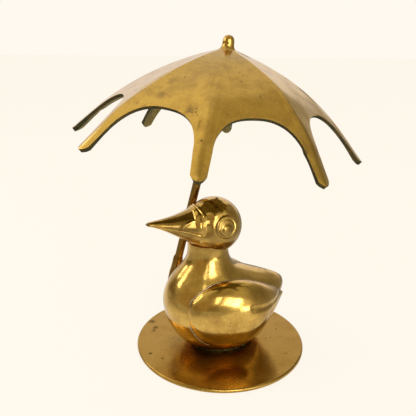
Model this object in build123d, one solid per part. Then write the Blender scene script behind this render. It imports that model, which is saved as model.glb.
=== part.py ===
from build123d import *
from math import atan2, cos, pi, sin, sqrt
import os

# A brass duck that stands on a round sheet plate and holds an open umbrella.
# Frame: +Z up, the duck looks along -Y, its left side is +X.
# The origin is the centre of the plate's underside.

# Base plate
plate_radius = 51.0
plate_thickness = 2.4
plate_edge_round = 1.0

# Foot under the body, and the two screws that hold it to the plate
foot_height = 1.7
foot_inset = 0.4
screw_spacing = 17.0
screw_radius = 2.0
screw_head_radius = 3.8
screw_head_height = 1.7
screw_slot_width = 0.9
screw_slot_depth = 0.7
screw_reach = 12.0
screw_clearance = 0.1
screw_recess = 0.2

# Body
body_height = 64.0
breast_reach = 35.0
tail_reach = 42.5
body_half_width = 27.0
neck_radius = 11.8
neck_offset = 9.0

# Head and beak
head_radius = 16.1
head_offset = 5.6
head_seat_height = 9.7
beak_length = 40.4
mouth_tuck = 0.35
cere_height = 0.6
eye_ring_radius = 5.5
eye_ring_wire = 0.75
pupil_radius = 2.9
pupil_height = 0.7
eye_bearing_angle = 96
eye_lift_angle = 11
pupil_lift_angle = 2

# Stud between neck and head
stud_radius = 3.0
stud_reach = 11.0
stud_clearance = 0.1

# Wings
wing_front_reach = 27.5
wing_back_reach = 37.5
wing_thickness = 6.0
wing_front_drop = 34.1
wing_back_drop = 36.6
wing_upper_height = 17.0
wing_lower_share = 0.3672
wing_root_share = 0.2963

# Umbrella shaft and its holder on the right shoulder
shaft_radius = 2.4
shaft_side_offset = 20.1
shaft_front_offset = 21.5
shaft_foot_drop = 21.5
shaft_heading_angle = 66
shaft_lean_angle = 13.1
shaft_straight_length = 115.4
shaft_bend_angle = 7.4
shaft_bend_radius = 60.0
shaft_top_length = 3.5
spigot_radius = 1.7
spigot_length = 8.0
spigot_clearance = 0.1
holder_radius = 3.3
holder_height = 5.8
holder_depth = 17.8
holder_lip_width = 1.0
shaft_clearance = 0.1

# Canopy, the collar under it and the finial on top
rib_count = 8
canopy_radius = 82.1
canopy_depth = 55.3
canopy_wall = 1.8
canopy_turn_angle = -94.4
crown_radius = 6.2
crown_boss_depth = 2.0
arch_reach = 53.2
arch_shoulder_reach = 57.2
arch_shoulder_half = 16.5
strap_root_reach = 68.0
strap_root_half = 3.9
strap_tip_half = 3.0
strap_end_bulge = 1.4
collar_inset = 0.4
collar_foot_radius = 3.6
collar_height = 5.0
finial_radius = 2.9
finial_height = 6.7
finial_inset = 0.3
finial_flare_share = 0.5

# One overrun serves every cut
overrun = 1.0

# Body sections from the foot to the neck: height, centre, front, rear and half
# width, then the power that draws the rear of the outline to a point.
body_shares = (
    (0.000, -0.11, 0.560, 0.470, 0.575, 1.00),
    (0.030, -0.06, 0.660, 0.565, 0.690, 1.00),
    (0.125, 0.05, 0.805, 0.690, 0.870, 1.05),
    (0.250, 0.16, 0.905, 0.850, 0.965, 1.15),
    (0.360, 0.27, 0.930, 0.965, 1.000, 1.30),
    (0.440, 0.38, 0.920, 1.055, 0.982, 1.45),
    (0.500, 0.44, 0.895, 1.085, 0.937, 1.50),
    (0.560, 0.55, 0.840, 1.035, 0.867, 1.50),
    (0.625, 0.66, 0.760, 0.850, 0.778, 1.45),
    (0.690, 0.78, 0.650, 0.600, 0.670, 1.30),
    (0.755, 0.89, 0.520, 0.405, 0.570, 1.15),
)
neck_shares = (
    (0.830, 0.98, 1.14),
    (0.905, 1.00, 1.01),
    (1.000, 1.00, 1.00),
)

# Beak stations: how far out, then top, bottom, half width and mouth line, as
# shares of the head's radius above or below its centre.
beak_shares = (
    (0.000, 0.970, -0.970, 0.970, -0.220),
    (0.158, 0.885, -0.870, 0.895, -0.150),
    (0.307, 0.710, -0.695, 0.755, -0.060),
    (0.455, 0.560, -0.470, 0.595, 0.030),
    (0.629, 0.445, -0.205, 0.410, 0.105),
    (0.802, 0.380, 0.030, 0.255, 0.160),
    (0.950, 0.335, 0.180, 0.130, 0.225),
    (1.000, 0.290, 0.250, 0.035, 0.270),
)

# Outline of the raised band round the beak's root, seen from the side: forward
# of and above the head's centre, as shares of the head's radius.
cere_front_shares = ((0.78, 0.98), (0.88, 0.62), (0.88, 0.30), (0.84, 0.06), (0.73, -0.08))
cere_back_shares = ((0.62, 0.12), (0.57, 0.38), (0.60, 0.60), (0.70, 0.98))

# Wing sections: length, upper, lower, outer and inner
wing_shares = (
    (0.000, 0.02, 0.02, 0.550, 2.00),
    (0.020, 0.27, 0.36, 0.635, 1.75),
    (0.060, 0.47, 0.60, 0.720, 1.50),
    (0.120, 0.68, 0.79, 0.805, 1.25),
    (0.220, 0.89, 0.95, 0.895, 1.05),
    (0.350, 1.00, 1.00, 0.970, 1.00),
    (0.500, 0.98, 0.94, 1.000, 1.00),
    (0.650, 0.82, 0.67, 0.915, 1.00),
    (0.800, 0.54, 0.34, 0.720, 1.00),
    (0.920, 0.27, 0.13, 0.480, 1.00),
    (1.000, 0.03, 0.02, 0.290, 1.05),
)

# Rib curve of the canopy: distance from its axis and drop below the crown
rib_shares = (
    (0.050, 0.025),
    (0.100, 0.052),
    (0.244, 0.132),
    (0.426, 0.264),
    (0.609, 0.439),
    (0.792, 0.667),
    (1.000, 1.000),
)


def point_at(reach, angle, height=0):
    """A point at a reach and a bearing in degrees round the Z axis."""
    return Vector(reach * cos(angle * pi / 180), reach * sin(angle * pi / 180), height)


def egg_section(height, centre, front, rear, half_width, power, count=28):
    """A level outline with a round front and a rear that power draws to a point."""
    points = []
    for step in range(count):
        turn = 2 * pi * step / count
        side = cos(turn)
        reach = rear if sin(turn) > 0 else front
        narrowing = abs(side) ** (power if sin(turn) > 0 else 1)
        across = half_width * narrowing * (1 if side >= 0 else -1)
        points.append((across, centre + reach * sin(turn), height))
    return Face(Wire(Spline(*points, periodic=True)))


def neck_top():
    """The level of the neck's top, which head, wings and shaft are placed from."""
    return plate_thickness + foot_height + body_height


def body_sections():
    """The level sections that the body is drawn through."""
    foot = plate_thickness + foot_height
    sections = []
    for rise, centre, front, rear, side, power in body_shares:
        sections.append(
            egg_section(
                foot + rise * body_height,
                -centre * neck_offset,
                front * breast_reach,
                rear * tail_reach,
                side * body_half_width,
                power,
            )
        )
    for rise, centre, girth in neck_shares:
        sections.append(
            egg_section(
                foot + rise * body_height,
                -centre * neck_offset,
                girth * neck_radius,
                girth * neck_radius,
                girth * neck_radius,
                1,
            )
        )
    return sections


def upright_cylinder(radius, bottom, top, forward=0):
    """A cylinder round an upright axis that stands forward of the origin."""
    post = Cylinder(radius, top - bottom, align=(Align.CENTER, Align.CENTER, Align.MIN))
    return Pos(0, -forward, bottom) * post


def make_base_plate():
    """The round sheet plate with its rolled rim and two countersunk holes."""
    plate = upright_cylinder(plate_radius, 0, plate_thickness)
    rims = plate.edges().filter_by(GeomType.CIRCLE)
    plate = fillet(rims, plate_edge_round)
    mouth = upright_cylinder(screw_head_radius + screw_clearance, -overrun, screw_recess)
    for hole in screw_bores() + at_screws(mouth) + at_screws(screw_head(screw_clearance)):
        plate = plate - hole
    return plate


def at_screws(piece):
    """A piece repeated at the two screws, one ahead of the middle and one behind."""
    return [Pos(0, place, 0) * piece for place in (-screw_spacing / 2, screw_spacing / 2)]


def screw_bores():
    """The bores for the two screws through plate and foot and into the body."""
    depth = plate_thickness + screw_reach + screw_clearance
    return at_screws(upright_cylinder(screw_radius + screw_clearance, -overrun, depth))


def screw_head(allowance=0):
    """A screw's cone head, or the form of its sink when an allowance is given."""
    wide = screw_head_radius + allowance
    narrow = screw_radius + allowance
    top = screw_recess + screw_head_height
    outline = Polyline(
        (0, screw_recess), (wide, screw_recess), (narrow, top), (0, top), close=True
    )
    return revolve(Plane.XZ * make_face(outline), Axis.Z)


def make_base_screws():
    """The two countersunk screws that pull foot and body down on the plate."""
    slot = Box(2 * screw_head_radius, screw_slot_width, 2 * screw_slot_depth)
    shank = upright_cylinder(screw_radius, screw_recess, plate_thickness + screw_reach)
    screw = screw_head() + shank - Pos(0, 0, screw_recess) * slot
    return Compound(children=at_screws(screw))


def make_foot():
    """The low foot that lifts the body off the plate."""
    centre, front, rear, side, power = body_shares[0][1:]
    outline = egg_section(
        plate_thickness,
        -centre * neck_offset,
        front * breast_reach - foot_inset,
        rear * tail_reach - foot_inset,
        side * body_half_width - foot_inset,
        power,
    )
    slab = extrude(outline, foot_height, dir=(0, 0, 1))
    for bore in screw_bores():
        slab = slab - bore
    return slab


def head_height():
    """The level of the middle of the head's ball."""
    return neck_top() + head_seat_height


def head_centre():
    """The middle of the head's ball."""
    return Vector(0, -head_offset, head_height())


def beak_section(forward, middle, half_width, rise, fall):
    """An upright oval outline with a corner at each side, where the mouth line runs."""
    right = (half_width, -forward, middle)
    left = (-half_width, -forward, middle)
    shoulder_share = sqrt(0.5)
    side = half_width * shoulder_share
    over = Spline(
        right,
        (side, -forward, middle + rise * shoulder_share),
        (0, -forward, middle + rise),
        (-side, -forward, middle + rise * shoulder_share),
        left,
        tangents=[(0, 0, 1), (0, 0, -1)],
    )
    under = Spline(
        left,
        (-side, -forward, middle - fall * shoulder_share),
        (0, -forward, middle - fall),
        (side, -forward, middle - fall * shoulder_share),
        right,
        tangents=[(mouth_tuck, 0, -1), (mouth_tuck, 0, 1)],
    )
    return Face(Wire([over, under]))


def make_beak(allowance=0):
    """The beak from inside the ball out to its tip, grown by an allowance."""
    sections = []
    for out, top, bottom, side, mouth in beak_shares:
        sections.append(
            beak_section(
                head_offset + out * beak_length,
                head_height() + mouth * head_radius,
                side * head_radius + allowance,
                (top - mouth) * head_radius + allowance,
                (mouth - bottom) * head_radius + allowance,
            )
        )
    return loft(sections)


def head_ball(allowance=0):
    """The head's ball, grown by an allowance."""
    return Pos(*head_centre()) * Sphere(head_radius + allowance)


def make_head_form(allowance=0):
    """Ball and beak together, grown all round by an allowance."""
    return head_ball(allowance) + make_beak(allowance)


def make_cere():
    """The raised band that runs over the forehead down to the corners of the mouth."""

    def place(share):
        return (0, -head_offset - share[0] * head_radius, head_height() + share[1] * head_radius)

    front = Spline(*[place(share) for share in cere_front_shares])
    back = Spline(*[place(share) for share in cere_back_shares])
    chin = Line(place(cere_front_shares[-1]), place(cere_back_shares[0]))
    brow = Line(place(cere_back_shares[-1]), place(cere_front_shares[0]))
    outline = Face(Wire([front, chin, back, brow]))
    return extrude(outline, 2 * head_radius, both=True, dir=(1, 0, 0)) & make_head_form(cere_height)


def eye_direction(side, lift_angle):
    """The direction from the head's middle to an eye on one side, at a lift."""
    level = cos(lift_angle * pi / 180)
    return Vector(
        side * level * sin(eye_bearing_angle * pi / 180),
        -level * cos(eye_bearing_angle * pi / 180),
        sin(lift_angle * pi / 180),
    )


def make_eye(side):
    """The eye's ring and, low inside it, its domed pupil on one side of the head."""
    outward = eye_direction(side, eye_lift_angle)
    ring_depth = sqrt(head_radius**2 - eye_ring_radius**2)
    ring = Plane(origin=head_centre() + outward * ring_depth, z_dir=outward) * Torus(
        eye_ring_radius, eye_ring_wire
    )
    outward = eye_direction(side, pupil_lift_angle)
    pupil_bend = (pupil_radius**2 + pupil_height**2) / (2 * pupil_height)
    pupil_depth = sqrt(head_radius**2 - pupil_radius**2) - pupil_bend + pupil_height
    ball = Pos(*(head_centre() + outward * pupil_depth)) * Sphere(pupil_bend)
    core = Plane(origin=head_centre() + outward * head_radius, z_dir=outward) * Cylinder(
        pupil_radius, head_radius
    )
    return ring + (ball & core)


def stud_bottom():
    """The level that the stud reaches down to in the neck."""
    return head_height() - head_radius - stud_reach


def stud_top():
    """The level that the stud reaches up to in the head."""
    return head_height() - head_radius + stud_reach


def make_stud(allowance=0):
    """The stud that joins head and neck, or the bore for it."""
    forward = (neck_offset + head_offset) / 2
    return upright_cylinder(
        stud_radius + allowance, stud_bottom() - allowance, stud_top() + allowance, forward
    )


def make_head():
    """Head, beak, band and eyes in one casting."""
    head = make_head_form() + make_cere() + make_eye(1) + make_eye(-1)
    return head - make_stud(stud_clearance)


def make_body():
    """Breast, tail and neck in one casting, its neck scooped for the head."""
    body = loft(body_sections()) - head_ball() - make_beak() - make_stud(stud_clearance)
    for bore in screw_bores():
        body = body - bore
    return body - shaft_bore()


def make_wing(side, body):
    """A leaf-shaped dome laid on the body's flank."""
    sections = []
    for along, upper, lower, outer, inner in wing_shares:
        forward = wing_front_reach - along * (wing_front_reach + wing_back_reach)
        middle = neck_top() - wing_front_drop - along * (wing_back_drop - wing_front_drop)
        top = middle + upper * wing_upper_height
        bottom = middle - lower * wing_lower_share * body_height
        far = outer * (body_half_width + wing_thickness)
        near = inner * wing_root_share * body_half_width
        plane = Plane(
            origin=(side * (far + near) / 2, -forward, (top + bottom) / 2),
            x_dir=(1, 0, 0),
            z_dir=(0, 1, 0),
        )
        sections.append(plane * Ellipse((far - near) / 2, (top - bottom) / 2))
    return loft(sections) - body


def shaft_plane():
    """The upright plane that holds the bent shaft: X along its lean, Y up."""
    heading = point_at(1, shaft_heading_angle)
    return Plane(
        origin=(-shaft_side_offset, -shaft_front_offset, neck_top() - shaft_foot_drop),
        x_dir=heading,
        z_dir=heading.cross(Vector(0, 0, 1)),
    )


def shaft_path():
    """The shaft's middle line: straight, bent back a little, then straight again."""
    lean = shaft_lean_angle * pi / 180
    lower = Line((0, 0), (shaft_straight_length * sin(lean), shaft_straight_length * cos(lean)))
    bend = JernArc(lower @ 1, lower % 1, shaft_bend_radius, shaft_bend_angle)
    upper = Line(bend @ 1, (bend @ 1) + (bend % 1) * shaft_top_length)
    return shaft_plane() * Wire([lower, bend, upper])


def crown_level():
    """The level of the flat crown under the point that the ribs run up to."""
    return -rib_shares[0][1] * canopy_depth


def boss_level():
    """The level of the flat underside of the boss under the crown."""
    return crown_level() - canopy_wall - crown_boss_depth


def crown_plane():
    """The canopy's own frame: Z along its axis, origin where its ribs would meet."""
    path = shaft_path()
    axis = path % 1
    crown = (path @ 1) - axis * boss_level()
    across = shaft_plane().z_dir.cross(axis) * -1
    return Plane(origin=crown, x_dir=across, z_dir=axis)


def holder_plane():
    """The holder's frame, on the shaft's lower end and looking along it."""
    path = shaft_path()
    return Plane(origin=path @ 0, z_dir=path % 0)


def make_shaft():
    """The round rod with the thin spigot that passes through the canopy."""
    path = shaft_path()
    start = Plane(origin=path @ 0, z_dir=path % 0)
    rod = sweep(start * Circle(shaft_radius), path=path)
    end = Plane(origin=path @ 1, z_dir=path % 1)
    spigot = end * Cylinder(
        spigot_radius, spigot_length, align=(Align.CENTER, Align.CENTER, Align.MIN)
    )
    return rod + spigot


def shaft_bore():
    """The bore for the shaft's lower end in its holder, which the body keeps clear of."""
    bore = Cylinder(
        shaft_radius + shaft_clearance,
        holder_height + shaft_clearance + overrun,
        align=(Align.CENTER, Align.CENTER, Align.MIN),
    )
    return holder_plane() * Pos(0, 0, -shaft_clearance) * bore


def make_holder(body, wing):
    """The cup on the right shoulder that the shaft is let into."""
    belly = Spline(
        (shaft_radius + holder_lip_width / 2, holder_height),
        (holder_radius, holder_height - 2 * holder_lip_width),
        (holder_radius, -holder_depth / 2),
        (0, -holder_depth),
    )
    foot = (0, -holder_depth)
    outline = Wire([belly, Line(foot, (0, holder_height)), Line((0, holder_height), belly @ 0)])
    cup = revolve(Plane.XZ * Face(outline), Axis.Z)
    return holder_plane() * cup - shaft_bore() - body - wing


def rib_profile():
    """Reach and level of the rib's top line, in the canopy's frame."""
    return [(reach * canopy_radius, -drop * canopy_depth) for reach, drop in rib_shares]


def inner_profile():
    """The rib line moved in by the wall, square to its slope."""
    outer = rib_profile()
    inner = []
    for index, (reach, level) in enumerate(outer):
        before = outer[max(index - 1, 0)]
        after = outer[min(index + 1, len(outer) - 1)]
        slope = atan2(before[1] - after[1], after[0] - before[0])
        inner.append((reach - canopy_wall * sin(slope), level - canopy_wall * cos(slope)))
    return inner


def rib_section(angle):
    """The shell cut through along one rib, in the upright plane at a bearing."""
    plane = Plane(origin=(0, 0, 0), x_dir=point_at(1, angle), z_dir=point_at(1, angle - 90))
    outer = Spline(*rib_profile())
    inner = Spline(*inner_profile())
    crown = Line(inner @ 0, outer @ 0)
    tip = Line(outer @ 1, inner @ 1)
    return plane * Face(Wire([outer, tip, inner, crown]))


def gore_notch():
    """What is cut from one gore: the arch, the sides of two straps and beyond."""
    half_step = 180 / rib_count
    far = canopy_radius + overrun
    root = point_at(strap_root_reach, -half_step) + point_at(strap_root_half, 90 - half_step)
    next_root = point_at(strap_root_reach, half_step) + point_at(strap_root_half, half_step - 90)
    edge = canopy_radius - strap_end_bulge
    side = point_at(edge, -half_step) + point_at(strap_tip_half, 90 - half_step)
    next_side = point_at(edge, half_step) + point_at(strap_tip_half, half_step - 90)
    tip = point_at(canopy_radius, -half_step)
    next_tip = point_at(canopy_radius, half_step)
    shoulder = point_at(arch_shoulder_reach, 0)
    across = point_at(arch_shoulder_half, 90)
    arch = Spline(
        root,
        shoulder - across,
        point_at(arch_reach, 0),
        shoulder + across,
        next_root,
        tangents=[point_at(-1, -half_step), point_at(1, half_step)],
    )
    outline = [
        Spline(tip, side, tangents=[point_at(1, 90 - half_step), point_at(-1, -half_step)]),
        Line(side, root),
        arch,
        Line(next_root, next_side),
        Spline(next_side, next_tip, tangents=[point_at(1, half_step), point_at(1, 90 + half_step)]),
        Line(next_tip, point_at(far, half_step)),
        Line(point_at(far, half_step), point_at(far, -half_step)),
        Line(point_at(far, -half_step), tip),
    ]
    bottom = Pos(0, 0, -canopy_depth - 2 * canopy_wall)
    return extrude(bottom * Face(Wire(outline)), canopy_depth + 2 * canopy_wall, dir=(0, 0, 1))


def make_canopy():
    """Eight scalloped gores that meet in creases on the ribs, round a flat boss."""
    half_step = 180 / rib_count
    gore = loft([rib_section(-half_step), rib_section(half_step)], ruled=True) - gore_notch()
    shell = upright_cylinder(crown_radius, boss_level(), crown_level())
    for index in range(rib_count):
        shell = shell + Rot(0, 0, (2 * index + 1) * half_step) * gore
    shell = shell - Cylinder(spigot_radius + spigot_clearance, canopy_depth)
    return crown_plane() * Rot(0, 0, canopy_turn_angle) * shell


def make_collar():
    """The tapered collar on the shaft under the canopy's boss."""
    top = boss_level()
    outline = Polyline(
        (shaft_radius, top - collar_height),
        (collar_foot_radius, top - collar_height),
        (crown_radius - collar_inset, top - canopy_wall),
        (crown_radius - collar_inset, top),
        (shaft_radius, top),
        close=True,
    )
    return crown_plane() * revolve(Plane.XZ * make_face(outline), Axis.Z)


def make_finial():
    """The round-ended cap nut whose foot flares out over the crown."""
    base = crown_level()
    top = base + finial_height
    neck_level = top - finial_radius
    dome = ThreePointArc(
        (0, top),
        (finial_radius * sqrt(0.5), neck_level + finial_radius * sqrt(0.5)),
        (finial_radius, neck_level),
    )
    foot = (crown_radius - finial_inset, base)
    flare = Spline(dome @ 1, foot, tangents=[(0, -1), (1, -finial_flare_share)])
    outline = Wire([dome, flare, Line(foot, (0, base)), Line((0, base), (0, top))])
    cap = crown_plane() * revolve(Plane.XZ * Face(outline), Axis.Z)
    bore_top = boss_level() + spigot_length + spigot_clearance
    bore = upright_cylinder(spigot_radius + spigot_clearance, boss_level(), bore_top)
    return cap - crown_plane() * bore


def main():
    """Build every piece and write each to its own file."""
    body = make_body()
    left_wing = make_wing(1, body)
    right_wing = make_wing(-1, body)
    pieces = {
        "base_plate": make_base_plate(),
        "base_screws": make_base_screws(),
        "foot": make_foot(),
        "duck_body": body,
        "neck_stud": make_stud(),
        "duck_head": make_head(),
        "left_wing": left_wing,
        "right_wing": right_wing,
        "shaft_holder": make_holder(body, right_wing),
        "umbrella_shaft": make_shaft(),
        "canopy_collar": make_collar(),
        "umbrella_canopy": make_canopy(),
        "finial": make_finial(),
    }
    os.makedirs("parts", exist_ok=True)
    for name, piece in pieces.items():
        export_step(piece, "parts/" + name + ".step")


main()
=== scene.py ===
from math import acos, atan2, cos, exp, pi, radians, sin, sqrt, tan

import bmesh
import bpy
from bpy.props import FloatProperty, FloatVectorProperty, PointerProperty
from mathutils import Matrix, Vector, noise


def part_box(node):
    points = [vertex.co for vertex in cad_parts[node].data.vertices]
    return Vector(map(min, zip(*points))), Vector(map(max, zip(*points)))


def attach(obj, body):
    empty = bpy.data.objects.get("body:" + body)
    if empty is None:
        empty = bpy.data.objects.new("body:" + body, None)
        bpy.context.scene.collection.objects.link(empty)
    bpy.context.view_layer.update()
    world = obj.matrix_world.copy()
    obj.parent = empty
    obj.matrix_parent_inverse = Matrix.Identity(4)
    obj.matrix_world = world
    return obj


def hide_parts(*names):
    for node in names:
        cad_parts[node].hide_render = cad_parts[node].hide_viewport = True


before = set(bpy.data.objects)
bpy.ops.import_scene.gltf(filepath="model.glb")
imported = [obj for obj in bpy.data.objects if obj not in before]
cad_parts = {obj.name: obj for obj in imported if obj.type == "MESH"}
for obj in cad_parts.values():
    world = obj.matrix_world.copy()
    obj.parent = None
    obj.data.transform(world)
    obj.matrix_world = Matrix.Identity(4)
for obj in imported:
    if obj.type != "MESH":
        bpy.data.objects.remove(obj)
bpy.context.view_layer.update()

# A brass duck on a round plate, under an open scalloped umbrella.
# Metres, +Z up, the duck looks along -Y and its left side is +X.

bl_info = {
    "name": "Brass Duck With Umbrella",
    "version": (1, 0, 0),
    "blender": (4, 5, 0),
    "location": "3D View > Sidebar > Brass Duck",
    "description": "Dresses the packed brass duck: castings, umbrella, aged brass and studio",
    "category": "Add Mesh",
}

BODY = "root"
FOOT_LOW, FOOT_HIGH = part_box("foot")

# Points closer together than this become one, on most pieces, on the canopy's
# sheet and on what is turned.
WELD = 0.00001
SHEET_WELD = 0.00002
TURNED_WELD = 0.000002

# Faces across and along each mesh.
BODY_FACES = (144, 110)
WING_FACES = (96, 96)
HEAD_FACES = (240, 270)
ROD_FACES = (40, 90)
CUP_FACES = (48, 60)
GORE_FACES = (28, 44)
STRAP_FACES = (4, 14)
FINIAL_FACES = (64, 40)

# Body sections from the foot up: height, centre, front, rear and half width,
# then the power that draws the rear of the outline to a point. The last three
# rows are the neck, in shares of the neck's own radius.
BODY_SHARES = (
    (0.000, -0.11, 0.560, 0.470, 0.575, 1.00),
    (0.030, -0.06, 0.660, 0.565, 0.690, 1.00),
    (0.125, 0.05, 0.805, 0.690, 0.870, 1.05),
    (0.250, 0.16, 0.905, 0.850, 0.965, 1.15),
    (0.360, 0.27, 0.930, 0.965, 1.000, 1.30),
    (0.440, 0.38, 0.920, 1.055, 0.982, 1.45),
    (0.500, 0.44, 0.895, 1.085, 0.937, 1.50),
    (0.560, 0.55, 0.840, 1.035, 0.867, 1.50),
    (0.625, 0.66, 0.760, 0.850, 0.778, 1.45),
    (0.690, 0.78, 0.650, 0.600, 0.670, 1.30),
    (0.755, 0.89, 0.520, 0.405, 0.570, 1.15),
)
NECK_SHARES = (
    (0.830, 0.98, 1.14),
    (0.905, 1.00, 1.01),
    (1.000, 1.00, 1.00),
)

# Wing sections from front to tip: length, upper, lower, outer and inner.
WING_SHARES = (
    (0.000, 0.02, 0.02, 0.550, 2.00),
    (0.020, 0.27, 0.36, 0.635, 1.75),
    (0.060, 0.47, 0.60, 0.720, 1.50),
    (0.120, 0.68, 0.79, 0.805, 1.25),
    (0.220, 0.89, 0.95, 0.895, 1.05),
    (0.350, 1.00, 1.00, 0.970, 1.00),
    (0.500, 0.98, 0.94, 1.000, 1.00),
    (0.650, 0.82, 0.67, 0.915, 1.00),
    (0.800, 0.54, 0.34, 0.720, 1.00),
    (0.920, 0.27, 0.13, 0.480, 1.00),
    (1.000, 0.03, 0.02, 0.290, 1.05),
)

# Where along a wing its solder bead passes, from the tip round the front to the
# lower edge.
SEAM_UPPER_SHARES = (0.96, 0.88, 0.8, 0.7, 0.6, 0.5, 0.4, 0.31, 0.23, 0.16, 0.1, 0.055, 0.025)
SEAM_LOWER_SHARES = (0.02, 0.045, 0.08, 0.12, 0.17, 0.22)

# Creases near a wing's tip, as lines of (distance behind the middle, height),
# each with its share of the full depth.
WING_CREASES = (
    (((0.0345, 0.0352), (0.0245, 0.0352), (0.0150, 0.0358), (0.0060, 0.0374)), 1.0),
    (((0.0330, 0.0330), (0.0250, 0.0318), (0.0190, 0.0310)), 0.6),
    (((0.0230, 0.0335), (0.0175, 0.0285), (0.0125, 0.0245)), 0.4),
)

# Head and beak from the ball's centre to the beak's tip, in shares of the ball's
# radius: how far forward, then top, bottom, half width and mouth line.
BEAK_SHARES = (
    (0.000, 0.970, -0.970, 0.970, 0.000),
    (0.396, 0.885, -0.870, 0.895, -0.020),
    (0.770, 0.710, -0.695, 0.755, -0.060),
    (1.142, 0.560, -0.470, 0.595, 0.030),
    (1.578, 0.445, -0.205, 0.410, 0.105),
    (2.013, 0.380, 0.030, 0.255, 0.160),
    (2.384, 0.335, 0.180, 0.130, 0.225),
    (2.509, 0.290, 0.250, 0.035, 0.270),
)

# Outline of the raised band at the beak's root, seen from the side: forward of
# and above the ball's centre, in shares of its radius.
BAND_SHARES = (
    (0.71, 1.00),
    (0.82, 0.98),
    (0.87, 0.65),
    (0.90, 0.45),
    (0.88, 0.17),
    (0.81, 0.00),
    (0.71, -0.12),
    (0.67, -0.04),
    (0.67, 0.20),
    (0.62, 0.44),
    (0.57, 0.55),
    (0.64, 0.67),
    (0.70, 0.79),
)

# Lines on the side of the head, in the same shares: the ridge at the band's rear
# edge, that of the beak's flat facet, and the fold between the band and the cheek.
RIDGE_SHARES = (
    (0.71, 0.90),
    (0.70, 0.79),
    (0.64, 0.67),
    (0.58, 0.55),
    (0.62, 0.44),
    (0.67, 0.20),
    (0.68, -0.04),
)
FACET_SHARES = ((1.60, 0.100), (1.44, 0.110), (1.31, 0.210), (1.21, 0.280), (1.07, 0.340), (0.95, 0.400))
FOLD_SHARES = ((0.66, -0.03), (0.54, 0.15), (0.47, 0.32), (0.43, 0.47))

# Where the brow is highest, seen from the eye: ahead and up.
BROW_WAY = Vector((0, -0.57, 0.82)).normalized()

# Rib curve of the canopy: distance from its axis and drop below the crown.
RIB_SHARES = (
    (0.00, 0.000),
    (0.10, 0.052),
    (0.244, 0.132),
    (0.426, 0.264),
    (0.609, 0.439),
    (0.792, 0.667),
    (1.00, 1.000),
)

# How each rib strays from its even place: turn half way out and at the tip, in
# degrees, then lift half way out and at the tip, in shares of the depth, then
# how much longer it is, in shares of its length.
RIB_STRAYS = (
    (-0.9, 0.3, -0.027, -0.002, 0.000),
    (2.0, -1.0, 0.016, 0.001, -0.001),
    (-0.8, 1.1, 0.021, 0.048, 0.009),
    (0.0, 0.0, 0.000, 0.000, 0.000),
    (0.0, 0.0, 0.000, -0.026, -0.002),
    (0.0, -1.6, 0.000, -0.022, -0.005),
    (1.7, 2.0, -0.006, 0.016, 0.026),
    (-1.3, -1.6, -0.019, 0.022, 0.009),
)

# How often the crease on each rib is smoothed, in the same order: the front one
# is worn the most.
RIB_PASSES = (16, 3, 3, 3, 3, 3, 3, 3)

# Sections of the shaft's holder: place along the shaft's line in metres, and
# radius in shares of the shaft's.
CUP_SECTIONS = (
    (-0.0178, 0.00),
    (-0.0158, 0.62),
    (-0.0118, 1.18),
    (-0.0068, 1.40),
    (0.0002, 1.37),
    (0.0048, 1.20),
    (0.0068, 0.98),
)

# Outline of the finial from its top: the share of the way, then radius and
# height above the crown, in shares of its own.
FINIAL_SHARES = (
    (0.00, 0.00, 1.00),
    (0.10, 0.50, 0.93),
    (0.24, 0.85, 0.72),
    (0.38, 0.98, 0.45),
    (0.52, 1.00, 0.18),
    (0.66, 1.10, -0.04),
    (0.80, 1.34, -0.21),
    (0.91, 1.70, -0.36),
    (1.00, 2.20, -0.54),
)

# Deep dark spots and patches of painted shade: place on the part, size, and how dark.
DUCK_STAINS_AND_SHADE = (
    ((0.0005, -0.0454, 0.0824), 0.0020, 0.85),
    ((0.0010, -0.0345, 0.0240), 0.0035, 0.35),
    ((0.0060, -0.0330, 0.0170), 0.0030, 0.30),
    ((0.0010, 0.0294, 0.0443), 0.0009, 0.60),
    # The next three darken the cheek and the side of the beak: painted shade standing in for the dark
    # reflections there.
    ((0.0151, -0.0072, 0.0725), 0.0125, 0.55),
    ((0.0086, -0.0253, 0.0775), 0.0070, 0.55),
    ((0.0059, -0.0324, 0.0800), 0.0050, 0.45),
)
PLATE_STAINS_AND_SHADE = (
    ((-0.0330, -0.0345, 0.0024), 0.0024, 0.75),
    ((-0.0250, -0.0344, 0.0024), 0.0020, 0.85),
    ((-0.0220, -0.0365, 0.0024), 0.0018, 0.70),
    ((0.0018, -0.0452, 0.0024), 0.0013, 0.90),
    ((0.0091, -0.0401, 0.0024), 0.0011, 0.80),
    ((0.0040, 0.0380, 0.0024), 0.0008, 0.80),
    ((0.0300, 0.0300, 0.0024), 0.0010, 0.50),
    ((0.0420, 0.0040, 0.0024), 0.0013, 0.45),
    # The last darkens the plate widely round the duck's foot: painted shade and painted reflection of the
    # duck.
    ((0.0100, -0.0100, 0.0024), 0.0260, 0.50),
)
CANOPY_STAINS = (
    ((0.0142, -0.0406, 0.1533), 0.0034, 0.45),
    ((0.0080, -0.0330, 0.1590), 0.0030, 0.35),
    ((0.0150, -0.0498, 0.1480), 0.0022, 0.45),
    ((0.0312, -0.0319, 0.1464), 0.0026, 0.50),
    ((0.0344, -0.0204, 0.1478), 0.0008, 0.80),
    ((0.0379, -0.0218, 0.1450), 0.0009, 0.80),
    ((0.0485, -0.0326, 0.1354), 0.0008, 0.70),
    ((0.0246, 0.0087, 0.1573), 0.0012, 0.50),
)

# Solder lumps round the foot: turn from the duck's left in degrees, and size.
SOLDER_LUMPS = (
    (-66.0, 0.0013),
    (-38.0, 0.0009),
    (-12.0, 0.0014),
    (6.0, 0.0010),
    (24.0, 0.0015),
    (47.0, 0.0011),
    (128.0, 0.0012),
    (171.0, 0.0010),
)

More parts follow.
